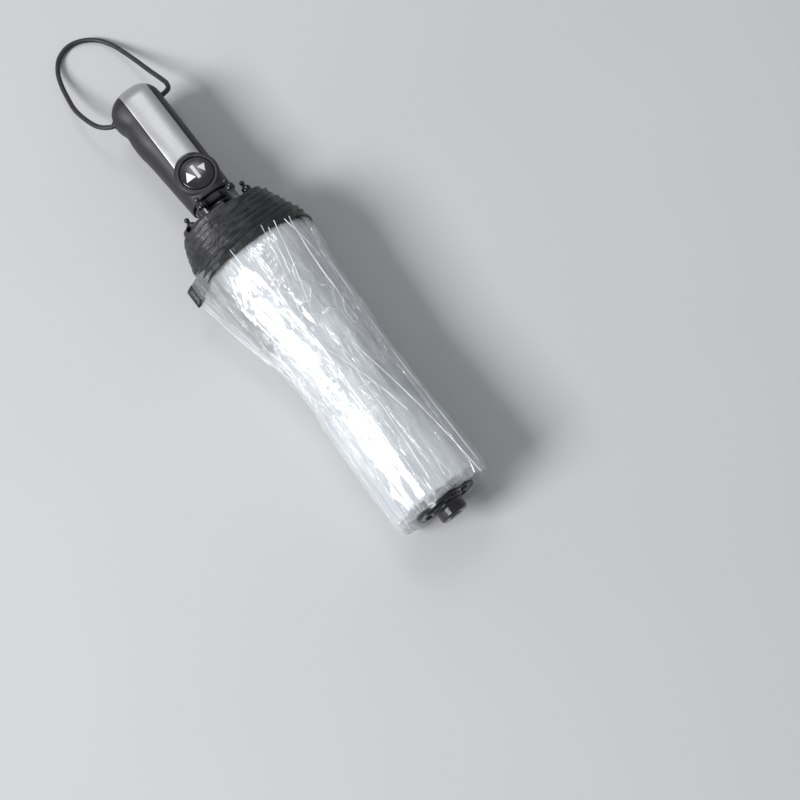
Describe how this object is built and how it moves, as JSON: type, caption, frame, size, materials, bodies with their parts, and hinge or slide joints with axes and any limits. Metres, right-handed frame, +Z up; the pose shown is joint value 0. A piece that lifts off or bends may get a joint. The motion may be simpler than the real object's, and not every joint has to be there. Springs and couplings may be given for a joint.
{
  "type": "folding umbrella",
  "caption": "Folded compact umbrella with a clear film canopy, black hem, oval push-button handle and wrist loop; telescopic pole and three-fold ribs open it.",
  "frame": {"origin": "middle of the folded umbrella's box, without its wrist cord, at the level of the surface it lies on", "axes": "+X along the pole from handle to ferrule, +Y towards the thumb side, +Z up through the button"},
  "size_m": [0.3598, 0.0766, 0.056],
  "materials": {
    "grip_black": "soft matte rubberised plastic",
    "gloss_black": "polished moulded plastic",
    "silver_inlay": "satin silver",
    "steel": "bright steel",
    "rib_alloy": "plain aluminium bar",
    "white_rib": "white glass-fibre rod",
    "clear_film": "clear glossy film, creased",
    "black_hem": "black coated band with a dull shine",
    "black_cord": "stiff round cord"
  },
  "bodies": {
    "root": {"handle_shell": "grip_black", "handle_inlay": "silver_inlay", "button_spring": "steel", "cord_anchor": "grip_black", "wrist_cord": "black_cord", "outer_tube": "steel"},
    "button": {"push_button": "gloss_black"},
    "middle_tube": {"middle_tube": "steel"},
    "canopy_head": {"inner_tube": "steel", "top_notch": "gloss_black", "notch_wire": "steel", "rosette": "gloss_black", "ferrule_cap": "gloss_black", "canopy_film": "clear_film", "hem_band": "black_hem", "tie_strap": "black_hem"},
    "runner": {"runner": "gloss_black", "runner_wire": "steel"},
    "inner_rib_1": {"inner_rib_1": "rib_alloy"},
    "inner_pleat_1": {"inner_pleat_1": "clear_film"},
    "middle_rib_1": {"middle_rib_1": "rib_alloy"},
    "middle_pleat_1": {"middle_pleat_1": "clear_film"},
    "outer_rib_1": {"outer_rib_1": "white_rib"},
    "outer_pleat_1": {"outer_pleat_1": "clear_film"},
    "stretcher_1": {"stretcher_1": "rib_alloy"},
    "inner_rib_2": {"inner_rib_2": "rib_alloy"},
    "inner_pleat_2": {"inner_pleat_2": "clear_film"},
    "middle_rib_2": {"middle_rib_2": "rib_alloy"},
    "middle_pleat_2": {"middle_pleat_2": "clear_film"},
    "outer_rib_2": {"outer_rib_2": "white_rib"},
    "outer_pleat_2": {"outer_pleat_2": "clear_film"},
    "stretcher_2": {"stretcher_2": "rib_alloy"},
    "inner_rib_3": {"inner_rib_3": "rib_alloy"},
    "inner_pleat_3": {"inner_pleat_3": "clear_film"},
    "middle_rib_3": {"middle_rib_3": "rib_alloy"},
    "middle_pleat_3": {"middle_pleat_3": "clear_film"},
    "outer_rib_3": {"outer_rib_3": "white_rib"},
    "outer_pleat_3": {"outer_pleat_3": "clear_film"},
    "stretcher_3": {"stretcher_3": "rib_alloy"},
    "inner_rib_4": {"inner_rib_4": "rib_alloy"},
    "inner_pleat_4": {"inner_pleat_4": "clear_film"},
    "middle_rib_4": {"middle_rib_4": "rib_alloy"},
    "middle_pleat_4": {"middle_pleat_4": "clear_film"},
    "outer_rib_4": {"outer_rib_4": "white_rib"},
    "outer_pleat_4": {"outer_pleat_4": "clear_film"},
    "stretcher_4": {"stretcher_4": "rib_alloy"},
    "inner_rib_5": {"inner_rib_5": "rib_alloy"},
    "inner_pleat_5": {"inner_pleat_5": "clear_film"},
    "middle_rib_5": {"middle_rib_5": "rib_alloy"},
    "middle_pleat_5": {"middle_pleat_5": "clear_film"},
    "outer_rib_5": {"outer_rib_5": "white_rib"},
    "outer_pleat_5": {"outer_pleat_5": "clear_film"},
    "stretcher_5": {"stretcher_5": "rib_alloy"},
    "inner_rib_6": {"inner_rib_6": "rib_alloy"},
    "inner_pleat_6": {"inner_pleat_6": "clear_film"},
    "middle_rib_6": {"middle_rib_6": "rib_alloy"},
    "middle_pleat_6": {"middle_pleat_6": "clear_film"},
    "outer_rib_6": {"outer_rib_6": "white_rib"},
    "outer_pleat_6": {"outer_pleat_6": "clear_film"},
    "stretcher_6": {"stretcher_6": "rib_alloy"}
  },
  "joints": [
    {"name": "button_press", "type": "slide", "parent": "root", "child": "button", "axis": [0, 0, -1], "range_m": [0, 0.0015], "stiffness_N_per_m": 600, "deforming": ["button_spring"]},
    {"name": "pole_extend", "type": "slide", "parent": "root", "child": "middle_tube", "axis": [1, 0, 0], "range_m": [0, 0.165]},
    {"name": "pole_extend_upper", "type": "slide", "parent": "middle_tube", "child": "canopy_head", "axis": [1, 0, 0], "range_m": [0, 0.165]},
    {"name": "canopy_open", "type": "slide", "parent": "canopy_head", "child": "runner", "axis": [1, 0, 0], "range_m": [0, 0.14874], "deforming": ["canopy_film", "hem_band", "tie_strap", "inner_pleat_1", "middle_pleat_1", "outer_pleat_1", "inner_pleat_2", "middle_pleat_2", "outer_pleat_2", "inner_pleat_3", "middle_pleat_3", "outer_pleat_3", "inner_pleat_4", "middle_pleat_4", "outer_pleat_4", "inner_pleat_5", "middle_pleat_5", "outer_pleat_5", "inner_pleat_6", "middle_pleat_6", "outer_pleat_6"]},
    {"name": "inner_rib_1_fold", "type": "hinge", "parent": "canopy_head", "child": "inner_rib_1", "pos_m": [0.135, 0.0147, 0.026], "axis": [0, 0, -1], "range_deg": [0, 79.6]},
    {"name": "inner_pleat_1_spread", "type": "slide", "parent": "inner_rib_1", "child": "inner_pleat_1", "axis": [0.4918, -0.0903, 0.866], "range_m": [0, 0.17241]},
    {"name": "middle_rib_1_fold", "type": "hinge", "parent": "inner_rib_1", "child": "middle_rib_1", "pos_m": [-0.036, 0.0159, 0.026], "axis": [0, 0, 1], "range_deg": [0, 192.15]},
    {"name": "middle_pleat_1_spread", "type": "slide", "parent": "middle_rib_1", "child": "middle_pleat_1", "axis": [-0.4618, 0.1918, 0.866], "range_m": [0, 0.3241]},
    {"name": "outer_rib_1_fold", "type": "hinge", "parent": "middle_rib_1", "child": "outer_rib_1", "pos_m": [0.13, 0.0201, 0.026], "axis": [0, 0, -1], "range_deg": [0, 163.97]},
    {"name": "outer_pleat_1_spread", "type": "slide", "parent": "outer_rib_1", "child": "outer_pleat_1", "axis": [0.3909, -0.3118, 0.866], "range_m": [0, 0.47974]},
    {"name": "stretcher_1_swing", "type": "hinge", "parent": "runner", "child": "stretcher_1", "pos_m": [-0.045, 0.0147, 0.026], "axis": [0, 0, 1], "range_deg": [0, 79.6]},
    {"name": "inner_rib_2_fold", "type": "hinge", "parent": "canopy_head", "child": "inner_rib_2", "pos_m": [0.135, 0.0092, 0.03553], "axis": [0, 0.866, -0.5], "range_deg": [0, 79.6]},
    {"name": "inner_pleat_2_spread", "type": "slide", "parent": "inner_rib_2", "child": "inner_pleat_2", "axis": [0.4918, -0.7951, 0.3548], "range_m": [0, 0.17241]},
    {"name": "middle_rib_2_fold", "type": "hinge", "parent": "inner_rib_2", "child": "middle_rib_2", "pos_m": [-0.036, 0.0098, 0.03657], "axis": [0, -0.866, 0.5], "range_deg": [0, 192.15]},
    {"name": "middle_pleat_2_spread", "type": "slide", "parent": "middle_rib_2", "child": "middle_pleat_2", "axis": [-0.4618, -0.6541, 0.5991], "range_m": [0, 0.3241]},
    {"name": "outer_rib_2_fold", "type": "hinge", "parent": "middle_rib_2", "child": "outer_rib_2", "pos_m": [0.13, 0.0119, 0.0402], "axis": [0, 0.866, -0.5], "range_deg": [0, 163.97]},
    {"name": "outer_pleat_2_spread", "type": "slide", "parent": "outer_rib_2", "child": "outer_pleat_2", "axis": [0.3909, -0.9059, 0.163], "range_m": [0, 0.47974]},
    {"name": "stretcher_2_swing", "type": "hinge", "parent": "runner", "child": "stretcher_2", "pos_m": [-0.045, 0.0092, 0.03553], "axis": [0, -0.866, 0.5], "range_deg": [0, 79.6]},
    {"name": "inner_rib_3_fold", "type": "hinge", "parent": "canopy_head", "child": "inner_rib_3", "pos_m": [0.135, -0.0018, 0.03553], "axis": [0, 0.866, 0.5], "range_deg": [0, 79.6]},
    {"name": "inner_pleat_3_spread", "type": "slide", "parent": "inner_rib_3", "child": "inner_pleat_3", "axis": [0.4918, -0.7049, -0.5112], "range_m": [0, 0.17241]},
    {"name": "middle_rib_3_fold", "type": "hinge", "parent": "inner_rib_3", "child": "middle_rib_3", "pos_m": [-0.036, -0.0024, 0.03657], "axis": [0, -0.866, -0.5], "range_deg": [0, 192.15]},
    {"name": "middle_pleat_3_spread", "type": "slide", "parent": "middle_rib_3", "child": "middle_pleat_3", "axis": [-0.4618, -0.8459, -0.267], "range_m": [0, 0.3241]},
    {"name": "outer_rib_3_fold", "type": "hinge", "parent": "middle_rib_3", "child": "outer_rib_3", "pos_m": [0.13, -0.0045, 0.0402], "axis": [0, 0.866, 0.5], "range_deg": [0, 163.97]},
    {"name": "outer_pleat_3_spread", "type": "slide", "parent": "outer_rib_3", "child": "outer_pleat_3", "axis": [0.3909, -0.5941, -0.703], "range_m": [0, 0.47974]},
    {"name": "stretcher_3_swing", "type": "hinge", "parent": "runner", "child": "stretcher_3", "pos_m": [-0.045, -0.0018, 0.03553], "axis": [0, -0.866, -0.5], "range_deg": [0, 79.6]},
    {"name": "inner_rib_4_fold", "type": "hinge", "parent": "canopy_head", "child": "inner_rib_4", "pos_m": [0.135, -0.0073, 0.026], "axis": [0, 0, 1], "range_deg": [0, 79.6]},
    {"name": "inner_pleat_4_spread", "type": "slide", "parent": "inner_rib_4", "child": "inner_pleat_4", "axis": [0.4918, 0.0903, -0.866], "range_m": [0, 0.17241]},
    {"name": "middle_rib_4_fold", "type": "hinge", "parent": "inner_rib_4", "child": "middle_rib_4", "pos_m": [-0.036, -0.0085, 0.026], "axis": [0, 0, -1], "range_deg": [0, 192.15]},
    {"name": "middle_pleat_4_spread", "type": "slide", "parent": "middle_rib_4", "child": "middle_pleat_4", "axis": [-0.4618, -0.1918, -0.866], "range_m": [0, 0.3241]},
    {"name": "outer_rib_4_fold", "type": "hinge", "parent": "middle_rib_4", "child": "outer_rib_4", "pos_m": [0.13, -0.0127, 0.026], "axis": [0, 0, 1], "range_deg": [0, 163.97]},
    {"name": "outer_pleat_4_spread", "type": "slide", "parent": "outer_rib_4", "child": "outer_pleat_4", "axis": [0.3909, 0.3118, -0.866], "range_m": [0, 0.47974]},
    {"name": "stretcher_4_swing", "type": "hinge", "parent": "runner", "child": "stretcher_4", "pos_m": [-0.045, -0.0073, 0.026], "axis": [0, 0, -1], "range_deg": [0, 79.6]},
    {"name": "inner_rib_5_fold", "type": "hinge", "parent": "canopy_head", "child": "inner_rib_5", "pos_m": [0.135, -0.0018, 0.01647], "axis": [0, -0.866, 0.5], "range_deg": [0, 79.6]},
    {"name": "inner_pleat_5_spread", "type": "slide", "parent": "inner_rib_5", "child": "inner_pleat_5", "axis": [0.4918, 0.7951, -0.3548], "range_m": [0, 0.17241]},
    {"name": "middle_rib_5_fold", "type": "hinge", "parent": "inner_rib_5", "child": "middle_rib_5", "pos_m": [-0.036, -0.0024, 0.01543], "axis": [0, 0.866, -0.5], "range_deg": [0, 192.15]},
    {"name": "middle_pleat_5_spread", "type": "slide", "parent": "middle_rib_5", "child": "middle_pleat_5", "axis": [-0.4618, 0.6541, -0.5991], "range_m": [0, 0.3241]},
    {"name": "outer_rib_5_fold", "type": "hinge", "parent": "middle_rib_5", "child": "outer_rib_5", "pos_m": [0.13, -0.0045, 0.0118], "axis": [0, -0.866, 0.5], "range_deg": [0, 163.97]},
    {"name": "outer_pleat_5_spread", "type": "slide", "parent": "outer_rib_5", "child": "outer_pleat_5", "axis": [0.3909, 0.9059, -0.163], "range_m": [0, 0.47974]},
    {"name": "stretcher_5_swing", "type": "hinge", "parent": "runner", "child": "stretcher_5", "pos_m": [-0.045, -0.0018, 0.01647], "axis": [0, 0.866, -0.5], "range_deg": [0, 79.6]},
    {"name": "inner_rib_6_fold", "type": "hinge", "parent": "canopy_head", "child": "inner_rib_6", "pos_m": [0.135, 0.0092, 0.01647], "axis": [0, -0.866, -0.5], "range_deg": [0, 79.6]},
    {"name": "inner_pleat_6_spread", "type": "slide", "parent": "inner_rib_6", "child": "inner_pleat_6", "axis": [0.4918, 0.7049, 0.5112], "range_m": [0, 0.17241]},
    {"name": "middle_rib_6_fold", "type": "hinge", "parent": "inner_rib_6", "child": "middle_rib_6", "pos_m": [-0.036, 0.0098, 0.01543], "axis": [0, 0.866, 0.5], "range_deg": [0, 192.15]},
    {"name": "middle_pleat_6_spread", "type": "slide", "parent": "middle_rib_6", "child": "middle_pleat_6", "axis": [-0.4618, 0.8459, 0.267], "range_m": [0, 0.3241]},
    {"name": "outer_rib_6_fold", "type": "hinge", "parent": "middle_rib_6", "child": "outer_rib_6", "pos_m": [0.13, 0.0119, 0.0118], "axis": [0, -0.866, -0.5], "range_deg": [0, 163.97]},
    {"name": "outer_pleat_6_spread", "type": "slide", "parent": "outer_rib_6", "child": "outer_pleat_6", "axis": [0.3909, 0.5941, 0.703], "range_m": [0, 0.47974]},
    {"name": "stretcher_6_swing", "type": "hinge", "parent": "runner", "child": "stretcher_6", "pos_m": [-0.045, 0.0092, 0.01647], "axis": [0, 0.866, 0.5], "range_deg": [0, 79.6]}
  ],
  "couplings": [
    {"joint": "pole_extend_upper", "follows": "pole_extend", "ratio": 1},
    {"joint": "inner_rib_1_fold", "follows": "canopy_open", "rad_per_m": 9.3399},
    {"joint": "inner_pleat_1_spread", "follows": "canopy_open", "ratio": 1.1591},
    {"joint": "middle_rib_1_fold", "follows": "canopy_open", "rad_per_m": 22.546},
    {"joint": "middle_pleat_1_spread", "follows": "canopy_open", "ratio": 2.1789},
    {"joint": "outer_rib_1_fold", "follows": "canopy_open", "rad_per_m": 19.24},
    {"joint": "outer_pleat_1_spread", "follows": "canopy_open", "ratio": 3.2253},
    {"joint": "stretcher_1_swing", "follows": "canopy_open", "rad_per_m": 9.3399},
    {"joint": "inner_rib_2_fold", "follows": "canopy_open", "rad_per_m": 9.3399},
    {"joint": "inner_pleat_2_spread", "follows": "canopy_open", "ratio": 1.1591},
    {"joint": "middle_rib_2_fold", "follows": "canopy_open", "rad_per_m": 22.546},
    {"joint": "middle_pleat_2_spread", "follows": "canopy_open", "ratio": 2.1789},
    {"joint": "outer_rib_2_fold", "follows": "canopy_open", "rad_per_m": 19.24},
    {"joint": "outer_pleat_2_spread", "follows": "canopy_open", "ratio": 3.2253},
    {"joint": "stretcher_2_swing", "follows": "canopy_open", "rad_per_m": 9.3399},
    {"joint": "inner_rib_3_fold", "follows": "canopy_open", "rad_per_m": 9.3399},
    {"joint": "inner_pleat_3_spread", "follows": "canopy_open", "ratio": 1.1591},
    {"joint": "middle_rib_3_fold", "follows": "canopy_open", "rad_per_m": 22.546},
    {"joint": "middle_pleat_3_spread", "follows": "canopy_open", "ratio": 2.1789},
    {"joint": "outer_rib_3_fold", "follows": "canopy_open", "rad_per_m": 19.24},
    {"joint": "outer_pleat_3_spread", "follows": "canopy_open", "ratio": 3.2253},
    {"joint": "stretcher_3_swing", "follows": "canopy_open", "rad_per_m": 9.3399},
    {"joint": "inner_rib_4_fold", "follows": "canopy_open", "rad_per_m": 9.3399},
    {"joint": "inner_pleat_4_spread", "follows": "canopy_open", "ratio": 1.1591},
    {"joint": "middle_rib_4_fold", "follows": "canopy_open", "rad_per_m": 22.546},
    {"joint": "middle_pleat_4_spread", "follows": "canopy_open", "ratio": 2.1789},
    {"joint": "outer_rib_4_fold", "follows": "canopy_open", "rad_per_m": 19.24},
    {"joint": "outer_pleat_4_spread", "follows": "canopy_open", "ratio": 3.2253},
    {"joint": "stretcher_4_swing", "follows": "canopy_open", "rad_per_m": 9.3399},
    {"joint": "inner_rib_5_fold", "follows": "canopy_open", "rad_per_m": 9.3399},
    {"joint": "inner_pleat_5_spread", "follows": "canopy_open", "ratio": 1.1591},
    {"joint": "middle_rib_5_fold", "follows": "canopy_open", "rad_per_m": 22.546},
    {"joint": "middle_pleat_5_spread", "follows": "canopy_open", "ratio": 2.1789},
    {"joint": "outer_rib_5_fold", "follows": "canopy_open", "rad_per_m": 19.24},
    {"joint": "outer_pleat_5_spread", "follows": "canopy_open", "ratio": 3.2253},
    {"joint": "stretcher_5_swing", "follows": "canopy_open", "rad_per_m": 9.3399},
    {"joint": "inner_rib_6_fold", "follows": "canopy_open", "rad_per_m": 9.3399},
    {"joint": "inner_pleat_6_spread", "follows": "canopy_open", "ratio": 1.1591},
    {"joint": "middle_rib_6_fold", "follows": "canopy_open", "rad_per_m": 22.546},
    {"joint": "middle_pleat_6_spread", "follows": "canopy_open", "ratio": 2.1789},
    {"joint": "outer_rib_6_fold", "follows": "canopy_open", "rad_per_m": 19.24},
    {"joint": "outer_pleat_6_spread", "follows": "canopy_open", "ratio": 3.2253},
    {"joint": "stretcher_6_swing", "follows": "canopy_open", "rad_per_m": 9.3399}
  ]
}
